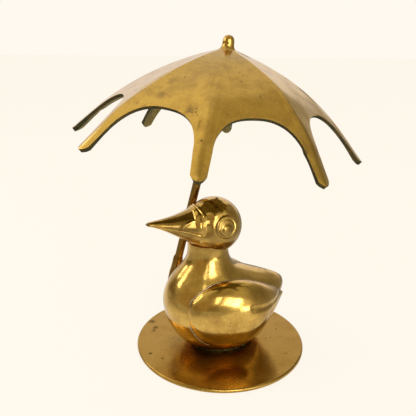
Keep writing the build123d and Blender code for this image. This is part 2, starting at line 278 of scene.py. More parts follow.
# Finishes: the colours of metal and tarnish, how much tarnish, roughness, scale of
# the blotches, and where the finish strays from the plain one.
PLAIN_EXTRAS = {
    "grain": 900.0,
    "pits": 0.6,
    "spread": 0.15,
    "swell": 0.0,
    "bump": 0.25,
    "metallic": 1.0,
    "coat": 0.0,
    "stains_and_shade": (),
}
DUCK_EXTRAS = {"grain": 1500.0, "swell": 1.8, "coat": 0.5, "stains_and_shade": DUCK_STAINS_AND_SHADE}
CANOPY_EXTRAS = {"pits": 1.0, "swell": 2.0, "coat": 0.8, "stains_and_shade": CANOPY_STAINS}
PLATE_EXTRAS = {"spread": 0.25, "swell": 0.8, "stains_and_shade": PLATE_STAINS_AND_SHADE}
FINISHES = {
    "duck brass": ("brass", "tarnish", 0.65, 0.12, 120.0, DUCK_EXTRAS),
    "canopy brass": ("canopy", "tarnish", 0.55, 0.16, 125.0, CANOPY_EXTRAS),
    # The rim's bevel: rubbed bare brass, painted brighter than polished brass as a highlight on the edge.
    "rim highlight and wear": ("worn_and_highlight", "tarnish", 0.3, 0.3, 220.0, {"metallic": 0.4, "coat": 0.5}),
    # The canopy's edge walls and its collar: near black, painted shade.
    "shaded rough edge": ("shade_green", "tarnish", 0.35, 0.6, 220.0, {"bump": 1.0, "metallic": 0.55}),
    # The canopy's underside: unpolished cast brass, darkened further with painted shade.
    "shaded underside": ("cast", "shade_green", 0.6, 0.4, 90.0, {"bump": 0.6}),
    "plate brass": ("plate", "tarnish", 0.6, 0.15, 60.0, PLATE_EXTRAS),
    "shaft brass": ("rod", "tarnish", 0.6, 0.16, 120.0, {"swell": 1.0}),
    # The foot and its solder lumps: near black, painted shade between the body and the plate.
    "shaded solder": ("shade_green", "tarnish", 0.25, 0.5, 300.0, {}),
    "grey solder": ("solder", "tarnish", 0.5, 0.35, 300.0, {}),
    "plain steel": ("steel", "tarnish", 0.1, 0.35, 300.0, {}),
}

# Distance between the pits in the metal, as a texture scale, and their colour.
PIT_SCALE = 380.0
PIT_COLOUR = (0.03, 0.02, 0.008)

# The room that the metal reflects, low down and overhead.
ROOM_LOW = (0.40, 0.36, 0.28)
ROOM_HIGH = (0.52, 0.47, 0.31)

# Soft zones of the studio: bearing and height in degrees, then the spread at
# which each starts to fade and ends, and its colour.
STUDIO_ZONES = (
    (162.0, 14.0, 26.0, 56.0, (0.86, 0.78, 0.71)),
    (146.0, 56.0, 12.0, 32.0, (0.66, 0.60, 0.46)),
    (-132.0, 62.0, 12.0, 30.0, (0.84, 0.77, 0.55)),
    (-30.0, 58.0, 8.0, 28.0, (0.32, 0.27, 0.15)),
    (-55.0, 2.0, 20.0, 46.0, (0.36, 0.27, 0.15)),
    (16.0, 4.0, 12.0, 30.0, (0.92, 0.88, 0.70)),
    (84.0, 22.0, 16.0, 44.0, (0.24, 0.21, 0.14)),
    (80.0, 66.0, 9.0, 13.5, (0.44, 0.38, 0.22)),
    (-127.0, 2.0, 12.0, 26.0, (0.20, 0.16, 0.09)),
    (120.0, 23.0, 5.0, 10.5, (0.34, 0.30, 0.20)),
    (-29.0, 2.0, 7.0, 16.0, (0.24, 0.19, 0.11)),
)

# Softboxes: name, bearing and height of the middle, width, height and roll, all
# in degrees as seen from the duck, then brightness.
SOFTBOXES = (
    ("right softbox", -1.0, 20.0, 22.0, 22.0, -20.0, 4.6),
    ("low softbox", 17.0, 1.0, 18.0, 9.0, 0.0, 4.2),
    ("right strip", -24.0, 27.0, 7.0, 20.0, -4.0, 2.8),
    ("left softbox", -106.0, 34.0, 12.0, 24.0, 0.0, 2.8),
    ("left strip", -134.0, 32.0, 10.0, 22.0, 0.0, 2.6),
    ("left gap", -121.0, 36.0, 4.0, 20.0, 0.0, 1.6),
)

# What the softboxes point at, and how far off they stand.
LAMP_TARGET = Vector((0, 0, 0.06))
LAMP_DISTANCE = 0.9

# How much light the floor gives back, and how bright the camera sees it.
FLOOR_DIFFUSE = 0.16
FLOOR_GLOW = 0.9

# How the floor's glow fades in the metal: the bearing of the fade, where it
# starts and ends in metres, and how much glow is left before and past it.
FLOOR_FADES = (
    (105.0, 0.0, 0.2, 0.74, 0.18),
    (-80.0, 0.02, 0.2, 1.0, 0.4),
)


def length(name, description, default):
    """A size in metres that the panel can change."""
    return FloatProperty(name=name, description=description, default=default, unit="LENGTH", precision=5)


def angle(name, description, degrees):
    """An angle that the panel can change, given in degrees."""
    return FloatProperty(name=name, description=description, default=radians(degrees), unit="ROTATION")


def colour(name, description, default):
    """A linear colour that the panel can change."""
    return FloatVectorProperty(
        name=name, description=description, default=default, subtype="COLOR", size=3, min=0, max=1
    )


class DuckSizes(bpy.types.PropertyGroup):
    """Sizes of the duck's body, head and wings."""

    body_height: length("Body height", "From the foot to the top of the neck", 0.064)
    breast_reach: length("Breast reach", "How far the breast reaches forward", 0.035)
    tail_reach: length("Tail reach", "How far the tail reaches back", 0.0425)
    body_half_width: length("Body half width", "Half the width of the body", 0.027)
    neck_radius: length("Neck radius", "Radius of the neck", 0.0118)
    neck_forward: length("Neck forward", "How far the neck stands forward", 0.009)
    head_radius: length("Head radius", "Radius of the head's ball", 0.0161)
    head_forward: length("Head forward", "How far the ball's centre stands forward", 0.0056)
    head_height: length("Head height", "Height of the ball's centre", 0.0778)
    mouth_depth: length("Mouth depth", "Depth of the crease between the beak's halves", 0.0007)
    mouth_width: length("Mouth width", "Width of the crease between the beak's halves", 0.0006)
    band_height: length("Band height", "How far the band at the beak's root stands out", 0.0008)
    band_edge: length("Band edge", "Width of the rounded edge of that band", 0.0007)
    band_crown: length("Band crown", "Width over which the band rises to its middle", 0.0026)
    ridge_width: length("Ridge width", "Width of the ridges on the band and the beak", 0.0006)
    fold_depth: length("Fold depth", "Depth of the fold between band and cheek", 0.0008)
    fold_width: length("Fold width", "Width of that fold", 0.0019)
    brow_height: length("Brow height", "How far the brow stands out above the eye", 0.0007)
    brow_start: length("Brow start", "Gap between the eye's ring and the brow", 0.0002)
    brow_slope: length("Brow slope", "Width over which the brow rises", 0.0036)
    brow_end: length("Brow end", "How far from the eye's ring the brow ends", 0.0115)
    brow_fade: length("Brow fade", "Width over which the brow fades", 0.0075)
    eye_radius: length("Eye radius", "Radius of the ring round the eye", 0.0058)
    eye_wire: length("Eye ring width", "Half width of the ring round the eye", 0.00055)
    eye_rise: length("Eye ring height", "How far the ring stands out", 0.0004)
    pupil_radius: length("Pupil radius", "Radius of the disc inside the ring", 0.003)
    pupil_rise: length("Pupil height", "How far that disc stands out", 0.0004)
    pupil_drop: angle("Pupil drop", "How far the disc sits below the ring's middle", 5.0)
    eye_bearing: angle("Eye bearing", "Turn of the eye from the beak's direction", 96.0)
    eye_lift: angle("Eye lift", "How far the eye lies above the ball's middle", 11.0)
    wing_front: length("Wing front", "Where the wing starts, forward of the middle", 0.0275)
    wing_back: length("Wing back", "Where the wing ends, behind the middle", 0.0375)
    wing_upper: length("Wing upper", "How far the wing rises above its middle line", 0.017)
    wing_lower: length("Wing lower", "How far the wing hangs below its middle line", 0.0235)
    wing_outer: length("Wing outer", "How far the wing stands out from the middle", 0.033)
    wing_inner: length("Wing inner", "How deep the wing's inner side lies", 0.008)
    wing_front_height: length("Wing front height", "Height of the wing's front end", 0.034)
    wing_back_height: length("Wing back height", "Height of the wing's tip", 0.0315)
    crease_depth: length("Wing crease depth", "Depth of the creases near a wing's tip", 0.0005)
    crease_width: length("Wing crease width", "Width of those creases", 0.0013)
    solder_radius: length("Solder radius", "Radius of the solder bead round the wings", 0.00042)
    lump_unevenness: length("Lump unevenness", "How far the solder lumps stray from round", 0.0004)
    lump_ripple: length("Lump ripple", "Distance between the swells of those lumps", 0.0012)
    unevenness: length("Unevenness", "How far the hand-finished surface strays", 0.00012)
    ripple: length("Ripple", "Distance between the swells of that surface", 0.014)


class UmbrellaSizes(bpy.types.PropertyGroup):
    """Sizes of the umbrella."""

    shaft_radius: length("Shaft radius", "Radius of the round rod", 0.0024)
    shaft_foot_x: length("Shaft foot X", "Where the shaft starts, to the duck's left", -0.0201)
    shaft_foot_y: length("Shaft foot Y", "Where the shaft starts, backward", -0.0215)
    shaft_foot_z: length("Shaft foot Z", "Height at which the shaft starts", 0.0466)
    shaft_heading: angle("Shaft heading", "Bearing that the shaft leans towards", 66.0)
    shaft_lean: angle("Shaft lean", "Lean of the shaft's long straight run", 13.1)
    shaft_straight: length("Shaft run", "Length of that straight run", 0.1154)
    shaft_bend: angle("Shaft bend", "How far the shaft bends back at its top", 7.4)
    shaft_bend_radius: length("Shaft bend radius", "Radius of that bend", 0.06)
    shaft_top: length("Shaft top run", "Length of the straight run above the bend", 0.0035)
    cup_unevenness: length("Holder unevenness", "How far the holder's surface strays", 0.0005)
    cup_ripple: length("Holder ripple", "Distance between the swells of that surface", 0.006)
    canopy_radius: length("Canopy radius", "From the axis to the ribs' tips", 0.0821)
    canopy_depth: length("Canopy depth", "From the crown to the ribs' tips", 0.0553)
    canopy_wall: length("Canopy wall", "Thickness of the canopy's casting", 0.0018)
    tip_wall: length("Tip wall", "Thickness of the straps' ends", 0.0027)
    canopy_turn: angle("Canopy turn", "Turn of the front rib from the shaft's heading", -94.4)
    crown_rise: length("Crown rise", "Height of the crown above the shaft's end", 0.00518)
    crown_hole: length("Crown hole", "Radius of the hole under the finial", 0.0018)
    arch_reach: length("Arch reach", "Where an arch's top lies, along the ribs", 0.0576)
    strap_root: length("Strap root", "Where the straps part from the gores", 0.0725)
    strap_half: length("Strap half width", "Half width of a strap at its root", 0.0046)
    strap_tip_half: length("Strap tip half width", "Half width of a strap near its end", 0.0040)
    strap_bulge: length("Strap end bulge", "How far a strap's end is rounded", 0.0014)
    crease_band: length("Crease band", "Half width of the rounded creases on the ribs", 0.004)
    # The bevel carries the rim's painted highlight.
    rim_bevel: length("Rim bevel", "Width of the bright worn edge", 0.0008)
    canopy_unevenness: length("Canopy unevenness", "How far the canopy's surface strays", 0.0002)
    canopy_ripple: length("Canopy ripple", "Distance between the swells of that surface", 0.012)
    finial_radius: length("Finial radius", "Radius of the finial's round end", 0.0033)
    finial_rise: length("Finial rise", "Height of the finial above the crown", 0.0061)


class BrassColours(bpy.types.PropertyGroup):
    """Colours of the metal, of what has settled on it, and of the painted shade and highlight of some parts.
    """

    brass: colour("Brass", "Polished brass", (0.84, 0.54, 0.12))
    canopy: colour("Canopy brass", "Brass of the canopy", (0.80, 0.50, 0.09))
    plate: colour("Plate brass", "Brass of the base plate", (0.54, 0.335, 0.082))
    rod: colour("Rod brass", "Brass of the rod and its cup", (0.33, 0.18, 0.04))
    tarnish: colour("Tarnish", "Brown tarnish", (0.44, 0.235, 0.035))
    # Brighter than any brass here and half diffuse: rubbed brass with a painted highlight.
    worn_and_highlight: colour("Worn rim", "Bare brass of the rubbed rim", (1.0, 0.70, 0.24))
    # Dark olive of the canopy's underside: cast brass with painted shade.
    cast: colour("Cast underside", "Olive brown of the unpolished underside", (0.33, 0.255, 0.085))
    # Near-black green: painted shade on the canopy's edge walls, its collar and the foot, and dark blotches
    # under the canopy.
    shade_green: colour("Verdigris", "Dark green on the rough edges", (0.055, 0.062, 0.028))
    solder: colour("Solder", "Grey solder", (0.52, 0.47, 0.36))
    steel: colour("Steel", "Plain steel of the hidden fasteners", (0.52, 0.50, 0.47))
    backdrop: colour("Backdrop", "Floor and backdrop", (1.0, 0.947, 0.863))


def merged(bm, spread):
    """Welds what lies closer together than the spread."""
    bmesh.ops.remove_doubles(bm, verts=bm.verts[:], dist=spread)


def face_outward(bm):
    """Turns every face of a mesh outward."""
    bmesh.ops.recalc_face_normals(bm, faces=bm.faces[:])
    bm.normal_update()


def wrapped_grid(bm, around, along, place):
    """A grid whose points go to place(u, v), with u and v from 0 to 1."""
    made = bmesh.ops.create_grid(bm, x_segments=around, y_segments=along, size=1)
    for vert in made["verts"]:
        vert.co = place((vert.co.x + 1) / 2, (vert.co.y + 1) / 2)


def smooth_value(rows, column, at):
    """One column of a table at a place, on a smooth curve through its rows."""
    last = len(rows) - 1
    index = 0
    while index < last - 1 and rows[index + 1][0] < at:
        index += 1

    def slope(place):
        before = rows[max(place - 1, 0)]
        after = rows[min(place + 1, last)]
        return (after[column] - before[column]) / (after[0] - before[0])

    low = rows[index]
    high = rows[index + 1]
    span = high[0] - low[0]
    t = min(max((at - low[0]) / span, 0), 1)
    pull = slope(index) * (t**3 - 2 * t**2 + t) + slope(index + 1) * (t**3 - t**2)
    return low[column] + (high[column] - low[column]) * (3 * t**2 - 2 * t**3) + pull * span


def smooth_row(rows, at):
    """Every column of a table but the first at a place, on smooth curves."""
    return [smooth_value(rows, column, at) for column in range(1, len(rows[0]))]


def ease(value):
    """A value kept between 0 and 1 and eased at both ends."""
    value = min(max(value, 0), 1)
    return value * value * (3 - 2 * value)


def mound(distance, width):
    """1 at no distance, and near 0 past the width."""
    return exp(-((distance / width) ** 2))


def add_object(name, data):
    """A new object in the scene."""
    made = bpy.data.objects.new(name, data)
    bpy.context.scene.collection.objects.link(made)
    return made


def make_piece(bm, name, finishes, nodes=()):
    """Turns a finished mesh into a piece that rides on the part's body."""
    face_outward(bm)
    for face in bm.faces:
        face.smooth = True
    mesh = bpy.data.meshes.new(name)
    bm.to_mesh(mesh)
    bm.free()
    for label in finishes:
        mesh.materials.append(finish(label))
    piece = add_object(name, mesh)
    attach(piece, BODY)
    if nodes:
        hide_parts(*nodes)
    return piece


def dress(node, label):
    """Gives a CAD node that keeps its shape its finish."""
    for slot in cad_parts[node].material_slots:
        slot.material = finish(label)


def roughen(bm, strength, size, seed):
    """Lets a surface stray from its true form as hand finishing leaves it."""
    bm.normal_update()
    shift = Vector((seed, 0, 0))
    for vert in bm.verts:
        vert.co += vert.normal * strength * noise.noise(vert.co / size + shift)


def sharpen(bm, limit):
    """Marks edges whose faces meet at more than the limit as sharp."""
    for edge in bm.edges:
        if len(edge.link_faces) == 2 and edge.calc_face_angle(0) > limit:
            edge.smooth = False


def body_rows(sizes):
    """Height share, then centre, front, rear and half width, and the power."""
    rows = []
    for rise, centre, front, rear, side, power in BODY_SHARES:
        rows.append(
            (
                rise,
                centre * sizes.neck_forward,
                front * sizes.breast_reach,
                rear * sizes.tail_reach,
                side * sizes.body_half_width,
                power,
            )
        )
    for rise, centre, girth in NECK_SHARES:
        reach = girth * sizes.neck_radius
        rows.append((rise, centre * sizes.neck_forward, reach, reach, reach, 1))
    return rows


def body_point(sizes, rows, rise, turn):
    """A point on the body at a share of its height and a turn round it."""
    centre, front, rear, half, power = smooth_row(rows, rise)
    side = cos(turn)
    behind = sin(turn) > 0
    across = half * abs(side) ** (power if behind else 1) * (1 if side > 0 else -1)
    return Vector(
        (
            across,
            -centre + (rear if behind else front) * sin(turn),
            FOOT_HIGH[2] + rise * sizes.body_height,
        )
    )


def inside_body(sizes, rows, point):
    """Whether a point lies inside the body casting."""
    rise = (point.z - FOOT_HIGH[2]) / sizes.body_height
    if rise < 0 or rise > 1:
        return False
    centre, front, rear, half, power = smooth_row(rows, rise)
    along = point.y + centre
    depth = along / (rear if along > 0 else front)
    if abs(depth) >= 1:
        return False
    return abs(point.x) < half * sqrt(1 - depth * depth) ** (power if along > 0 else 1)


def close_holes(bm):
    """Closes every open end with a face."""
    bmesh.ops.holes_fill(bm, edges=[edge for edge in bm.edges if edge.is_boundary], sides=0)


def wing_point(sizes, side, along, turn):
    """A point on a wing at a share of its length and a turn round its section."""
    upper, lower, outer, inner = smooth_row(WING_SHARES, along)
    drop = along * (sizes.wing_back_height - sizes.wing_front_height)
    middle = sizes.wing_front_height + drop
    top = middle + upper * sizes.wing_upper
    bottom = middle - lower * sizes.wing_lower
    far = outer * sizes.wing_outer
    near = inner * sizes.wing_inner
    return Vector(
        (
            side * ((far + near) / 2 + (far - near) / 2 * cos(turn)),
            -sizes.wing_front + along * (sizes.wing_front + sizes.wing_back),
            (top + bottom) / 2 + (top - bottom) / 2 * sin(turn),
        )
    )


def crease_wing(bm, sizes, side):
    """Presses the creases near the tip into the outer side of a wing."""
    face_outward(bm)
    for vert in bm.verts:
        outward = ease(2.5 * side * vert.normal.x)
        for line, depth in WING_CREASES:
            near = mound(line_distance(line, vert.co.y, vert.co.z), sizes.crease_width)
            vert.co -= vert.normal * sizes.crease_depth * depth * near * outward


def seam_point(sizes, rows, side, along, upward):
    """Where a wing's section enters the body, or None where it doesn't."""
    steps = 90
    for step in range(1, steps + 1):
        turn = upward * pi * step / steps
        if inside_body(sizes, rows, wing_point(sizes, side, along, turn)):
            low = turn - upward * pi / steps
            high = turn
            for _ in range(8):
                middle = (low + high) / 2
                if inside_body(sizes, rows, wing_point(sizes, side, along, middle)):
                    high = middle
                else:
                    low = middle
            return wing_point(sizes, side, along, low)
    return None


def bead(bm, points, radius, around=10):
    """A bead along a smooth curve through the points, thinning out at both ends."""
    rows = [(index, *point) for index, point in enumerate(points)]
    last = len(rows) - 1
    nudge = 0.05

    def centre(at):
        return Vector(smooth_row(rows, at))

    def place(u, v):
        at = v * last
        ahead = (centre(min(at + nudge, last)) - centre(max(at - nudge, 0))).normalized()
        across = ahead.cross(Vector((1, 0, 0))).normalized()
        out = across.cross(ahead)
        thin = sqrt(max(1 - (2 * v - 1) ** 8, 0))
        wide = radius * thin * (1 + 0.35 * noise.noise(centre(at) * 900))
        return centre(at) + (across * cos(2 * pi * u) + out * sin(2 * pi * u)) * wide

    wrapped_grid(bm, around, last * 8, place)
    merged(bm, radius / 50)


def head_outline(at):
    """Top, bottom, half width and mouth line at a place ahead of the ball's centre."""
    ball = sqrt(max(1 - at * at, 0))
    if at <= 0:
        return ball, -ball, ball, 0
    top, bottom, side, mouth = smooth_row(BEAK_SHARES, at)
    soft = 0.03 * ease(at / 0.4)

    def larger(one, other):
        return (one + other + sqrt((one - other) ** 2 + soft**2)) / 2

    tip = sqrt(max(1 - max((at - 2.38) / (BEAK_SHARES[-1][0] - 2.38), 0) ** 3, 0))
    middle = (top + bottom) / 2
    top = middle + (top - middle) * tip
    bottom = middle + (bottom - middle) * tip
    side *= tip
    if at >= 1:
        return top, bottom, side, mouth
    return larger(ball, top), -larger(ball, -bottom), larger(ball, side), mouth


def segment_distance(start, end, x, y):
    """How far a point lies from the straight line between two others."""
    ax, ay = start
    bx, by = end
    run = ((x - ax) * (bx - ax) + (y - ay) * (by - ay)) / ((bx - ax) ** 2 + (by - ay) ** 2)
    run = max(min(run, 1), 0)
    return sqrt((x - ax - run * (bx - ax)) ** 2 + (y - ay - run * (by - ay)) ** 2)


def line_distance(line, x, y):
    """How far a point lies from an open line through the given points."""
    return min(segment_distance(start, end, x, y) for start, end in zip(line, line[1:]))


def outline_distance(outline, x, y):
    """How far inside a closed outline a point lies, negative outside."""
    sides = list(zip(outline, (outline[-1], *outline)))
    inside = False
    for (ax, ay), (bx, by) in sides:
        if (ay > y) != (by > y) and x < ax + (y - ay) * (bx - ax) / (by - ay):
            inside = not inside
    nearest = min(segment_distance(start, end, x, y) for start, end in sides)
    return nearest if inside else -nearest


def eye_direction(sizes, side, drop=0):
    """The direction from the ball's centre to an eye, or to a place below it."""
    lift = sizes.eye_lift - drop
    return Vector(
        (
            side * cos(lift) * sin(sizes.eye_bearing),
            -cos(lift) * cos(sizes.eye_bearing),
            sin(lift),
        )
    )


def band_relief(sizes, forward, up):
    """How far the band at the beak's root, its ridges and its fold stand out."""
    radius = sizes.head_radius
    inside = outline_distance(BAND_SHARES, forward, up) * radius
    ridge = line_distance(RIDGE_SHARES, forward, up) * radius
    facet = line_distance(FACET_SHARES, forward, up) * radius
    fold = line_distance(FOLD_SHARES, forward, up) * radius
    edge = ease(inside / sizes.band_edge + 0.5)
    relief = sizes.band_height * (0.5 * edge + 0.5 * ease(inside / sizes.band_crown))
    relief += 0.6 * sizes.band_height * mound(ridge, sizes.ridge_width)
    relief += 0.6 * sizes.fold_depth * mound(facet, sizes.ridge_width) * ease((1.62 - forward) / 0.3)
    return relief - sizes.fold_depth * mound(fold, sizes.fold_width)


def mouth_relief(sizes, forward, up):
    """How deep the crease between the beak's halves lies, and the lower half set back."""
    if forward <= 0.6:
        return 0.0
    below = (smooth_value(BEAK_SHARES, 4, forward) - up) * sizes.head_radius
    reach = ease((forward - 0.68) / 0.12) * ease((2.46 - forward) / 0.2)
    crease = mound(below, sizes.mouth_width) + 0.6 * ease(below / sizes.mouth_width)
    return -sizes.mouth_depth * crease * reach


def eye_relief(sizes, forward, spot):
    """How far the brow, the eye's ring and its disc stand out."""
    if forward > 0.95:
        return 0.0
    radius = sizes.head_radius
    side = 1 if spot.x > 0 else -1
    out = spot.normalized()
    eye = eye_direction(sizes, side)
    ring = radius * acos(min(out.dot(eye), 1)) - sizes.eye_radius
    aside = (out - eye * out.dot(eye)).normalized()
    brow = ease((aside.dot(BROW_WAY) - 0.35) / 0.5) * ease((0.9 - forward) / 0.45)
    brow *= ease((ring - sizes.brow_start) / sizes.brow_slope)
    brow *= ease((sizes.brow_end - ring) / sizes.brow_fade)
    relief = sizes.brow_height * brow + sizes.eye_rise * mound(ring, sizes.eye_wire)
    relief -= 0.4 * sizes.eye_rise * mound(ring - 2.4 * sizes.eye_wire, 1.4 * sizes.eye_wire)
    pupil = eye_direction(sizes, side, sizes.pupil_drop)
    rim = radius * acos(min(out.dot(pupil), 1)) - sizes.pupil_radius
    relief += sizes.pupil_rise * ease(-rim / (2.5 * sizes.eye_wire))
    if ring < 0:
        relief -= 0.5 * sizes.pupil_rise * mound(rim - sizes.eye_wire, 1.2 * sizes.eye_wire)
    return relief


def head_relief(sizes, spot):
    """How far the head's surface stands out at a spot measured from the ball's centre."""
    forward = -spot.y / sizes.head_radius
    up = spot.z / sizes.head_radius
    relief = band_relief(sizes, forward, up) + mouth_relief(sizes, forward, up)
    return relief + eye_relief(sizes, forward, spot)


def shaft_course(sizes, distance):
    """A place on the shaft's middle line and the direction of the line there."""
    heading = Vector((cos(sizes.shaft_heading), sin(sizes.shaft_heading), 0))
    up = Vector((0, 0, 1))
    place = Vector((sizes.shaft_foot_x, sizes.shaft_foot_y, sizes.shaft_foot_z))

    def direction(lean):
        return heading * sin(lean) + up * cos(lean)

    run = min(distance, sizes.shaft_straight)
    place += direction(sizes.shaft_lean) * run
    turned = min(max(distance - sizes.shaft_straight, 0) / sizes.shaft_bend_radius, sizes.shaft_bend)
    lean = sizes.shaft_lean - turned
    place += sizes.shaft_bend_radius * heading * (cos(lean) - cos(sizes.shaft_lean))
    place += sizes.shaft_bend_radius * up * (sin(sizes.shaft_lean) - sin(lean))
    rest = distance - sizes.shaft_straight - sizes.shaft_bend_radius * sizes.shaft_bend
    place += direction(lean) * max(rest, 0)
    return place, direction(lean)


def shaft_length(sizes):
    """Length of the shaft's middle line up to the canopy."""
    return sizes.shaft_straight + sizes.shaft_bend_radius * sizes.shaft_bend + sizes.shaft_top


def turned_rod(bm, sizes, start, end, radius_at, faces):
    """A round form on the shaft's middle line, its radius set by radius_at."""
    flat = Vector((sin(sizes.shaft_heading), -cos(sizes.shaft_heading), 0))

    def place(u, v):
        distance = start + v * (end - start)
        centre, ahead = shaft_course(sizes, distance)
        across = ahead.cross(flat)
        return centre + (flat * cos(2 * pi * u) + across * sin(2 * pi * u)) * radius_at(distance)

    wrapped_grid(bm, *faces, place)
    merged(bm, WELD)


def canopy_frame(sizes):
    """The crown of the canopy and its three axes, the last one pointing up."""
    place, up = shaft_course(sizes, shaft_length(sizes))
    crown = place + up * sizes.crown_rise
    lean = acos(up.z)
    heading = sizes.shaft_heading
    first = Vector((cos(lean) * cos(heading), cos(lean) * sin(heading), -sin(lean)))
    return crown, first, up.cross(first), up


def rib_point(sizes, axes, rib, reach):
    """A point on the top line of a rib at a reach from the canopy's axis."""
    crown, first, second, up = axes
    turn_half, turn_tip, lift_half, lift_tip, longer = RIB_STRAYS[rib % len(RIB_STRAYS)]
    share = reach / sizes.canopy_radius
    half_way = 0.55
    half = ease(share / half_way) if share < half_way else ease((1 - share) / (1 - half_way))
    tip = share * share
    turn = sizes.canopy_turn + 2 * pi * rib / len(RIB_STRAYS)
    turn += radians(turn_half * half + turn_tip * tip)
    drop = smooth_value(RIB_SHARES, 1, share) - lift_half * half - lift_tip * tip
    reach *= 1 + longer * tip
    return crown + reach * (first * cos(turn) + second * sin(turn)) - up * drop * sizes.canopy_depth


def canopy_sheet(bm, sizes):
    """The canopy's top surface: eight gores and eight straps, welded into one sheet."""
    axes = canopy_frame(sizes)
    ribs = len(RIB_STRAYS)
    chord = 2 * sin(pi / ribs)
    root = sizes.strap_half / (sizes.strap_root * chord)
    squareness = 2.7

    def between(gore, share, reach):
        start = rib_point(sizes, axes, gore, reach)
        end = rib_point(sizes, axes, gore + 1, reach)
        return start.lerp(end, share)

    def edge_reach(share):
        away = abs(share - 0.5) / (0.5 - root)
        rise = sqrt(max(1 - away**squareness, 0))
        return sizes.strap_root - (sizes.strap_root - sizes.arch_reach) * rise

    for gore in range(ribs):

        def field(u, v, gore=gore):
            share = root + (1 - cos(pi * u)) / 2 * (1 - 2 * root)
            reach = sizes.crown_hole + v * (edge_reach(share) - sizes.crown_hole)
            return between(gore, share, reach)

        wrapped_grid(bm, *GORE_FACES, field)
        for mirrored in (False, True):

            def inner(u, v, gore=gore, mirrored=mirrored):
                share = u * root
                reach = sizes.crown_hole + v * (sizes.strap_root - sizes.crown_hole)
                return between(gore, 1 - share if mirrored else share, reach)

            def outer(u, v, gore=gore, mirrored=mirrored):
                end = sizes.canopy_radius - sizes.strap_bulge * u**3
                reach = sizes.strap_root + v * (end - sizes.strap_root)
                half = sizes.strap_half + v * (sizes.strap_tip_half - sizes.strap_half)
                share = u * half / (reach * chord)
                return between(gore, 1 - share if mirrored else share, reach)

            wrapped_grid(bm, STRAP_FACES[0], GORE_FACES[1], inner)
            wrapped_grid(bm, *STRAP_FACES, outer)
    merged(bm, SHEET_WELD)
    return axes


def soften_ribs(bm, sizes, axes):
    """Rounds the creases on the ribs."""
    crown, first, second, _ = axes
    ribs = len(RIB_STRAYS)
    bands = [[] for _ in RIB_PASSES]
    for vert in bm.verts:
        if vert.is_boundary:
            continue
        out = vert.co - crown
        across, along = out.dot(second), out.dot(first)
        turn = (atan2(across, along) - sizes.canopy_turn) * ribs / (2 * pi)
        rib = round(turn)
        if abs(turn - rib) * sqrt(across * across + along * along) * 2 * pi / ribs < sizes.crease_band:
            bands[rib % ribs].append(vert)
    for verts, passes in zip(bands, RIB_PASSES):
        for _ in range(passes):
            bmesh.ops.smooth_vert(
                bm, verts=verts, factor=0.5, use_axis_x=True, use_axis_y=True, use_axis_z=True
            )


def thicken_canopy(bm, sizes, axes):
    """Gives the sheet its wall, thicker at the straps' ends; its underside and walls get painted shade, and
    its rubbed rim a painted highlight.
    """
    crown, _, _, up = axes
    face_outward(bm)
    if sum(face.normal.dot(up) for face in bm.faces) < 0:
        bmesh.ops.reverse_faces(bm, faces=bm.faces[:])
        bm.normal_update()
    rim = [edge for edge in bm.edges if edge.is_boundary]
    tops = bm.faces[:]
    normals = {vert.co.to_tuple(6): vert.normal.copy() for vert in bm.verts}
    made = bmesh.ops.extrude_face_region(bm, geom=tops + bm.edges[:], use_keep_orig=True)
    for item in made["geom"]:
        if isinstance(item, bmesh.types.BMVert):
            normal = normals[item.co.to_tuple(6)]
            reach = (item.co - crown - up * (item.co - crown).dot(up)).length
            end = ease((reach / sizes.canopy_radius - 0.88) / 0.12)
            wall = sizes.canopy_wall + (sizes.tip_wall - sizes.canopy_wall) * end
            item.co -= normal * wall
    kept = set(tops)
    above = {vert for face in kept for vert in face.verts}
    for face in bm.faces:
        walled = any(vert in above for vert in face.verts)
        # Top faces keep the brass; the underside and the walls take finishes darkened with painted shade.
        face.material_index = 0 if face in kept else 2 if walled else 1
    outer = [edge for edge in rim if edge.is_valid and len(edge.link_faces) == 2]
    worn_and_highlight = bmesh.ops.bevel(
        bm,
        geom=outer,
        offset=sizes.rim_bevel,
        offset_type="OFFSET",
        segments=2,
        profile=0.5,
        affect="EDGES",
        material=-1,
        clamp_overlap=True,
    )
    # The rim's bevel takes the painted highlight.
    for face in worn_and_highlight["faces"]:
        face.material_index = 3


def lathe(bm, outline, steps, matrix):
    """Spins an outline of (radius, height) points once round and sets it in place."""
    verts = [bm.verts.new((radius, 0, height)) for radius, height in outline]
    edges = [bm.edges.new(pair) for pair in zip(verts, verts[1:])]
    bmesh.ops.spin(
        bm,
        geom=verts + edges,
        axis=(0, 0, 1),
        cent=(0, 0, 0),
        angle=2 * pi,
        steps=steps,
        use_merge=True,
    )
    merged(bm, TURNED_WELD)
    bmesh.ops.transform(bm, matrix=matrix, verts=bm.verts[:])


